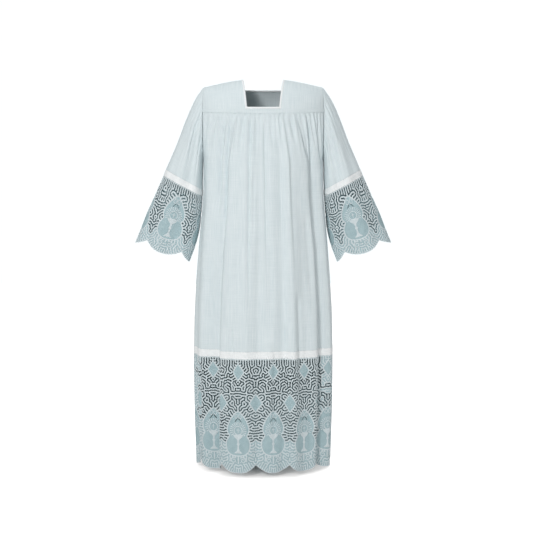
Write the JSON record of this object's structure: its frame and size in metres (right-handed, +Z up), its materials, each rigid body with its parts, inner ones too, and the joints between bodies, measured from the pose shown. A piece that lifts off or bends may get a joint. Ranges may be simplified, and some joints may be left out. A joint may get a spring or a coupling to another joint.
{
  "type": "lace alb",
  "caption": "Full-length lace-trimmed church alb, filled out as worn and hollow: square yoke neck, gathered front and back, wide sleeves, deep lace hem and cuffs.",
  "frame": {"origin": "midway between the two neck ends of the shoulder seams, at their height, where the garment hangs on its wearer's shoulders", "axes": "+Z up along the wearer's spine, +X to the wearer's left, -Y out of the front"},
  "size_m": [0.948, 0.3795, 1.4175],
  "materials": {
    "linen": "matte, plain-woven cotton-linen, cool white, lightly creased",
    "tape": "matte, close-woven white tape and insertion band with topstitched edges",
    "lace": "matte, white tape lace on a fine net ground, reading cool grey where the net is thin"
  },
  "bodies": {
    "root": {"yoke_front": "linen", "yoke_back": "linen", "neck_binding_front": "tape", "neck_binding_back": "tape", "yoke_band_front": "tape", "yoke_band_back": "tape", "body_front": "linen", "body_back": "linen", "sleeve_left": "linen", "sleeve_right": "linen", "sleeve_band_left": "tape", "sleeve_band_right": "tape", "hem_band_front": "tape", "hem_band_back": "tape", "cuff_lace_left_front": "lace", "cuff_lace_left_back": "lace", "cuff_lace_right_front": "lace", "cuff_lace_right_back": "lace", "hem_lace_front": "lace", "hem_lace_back": "lace"}
  },
  "joints": []
}
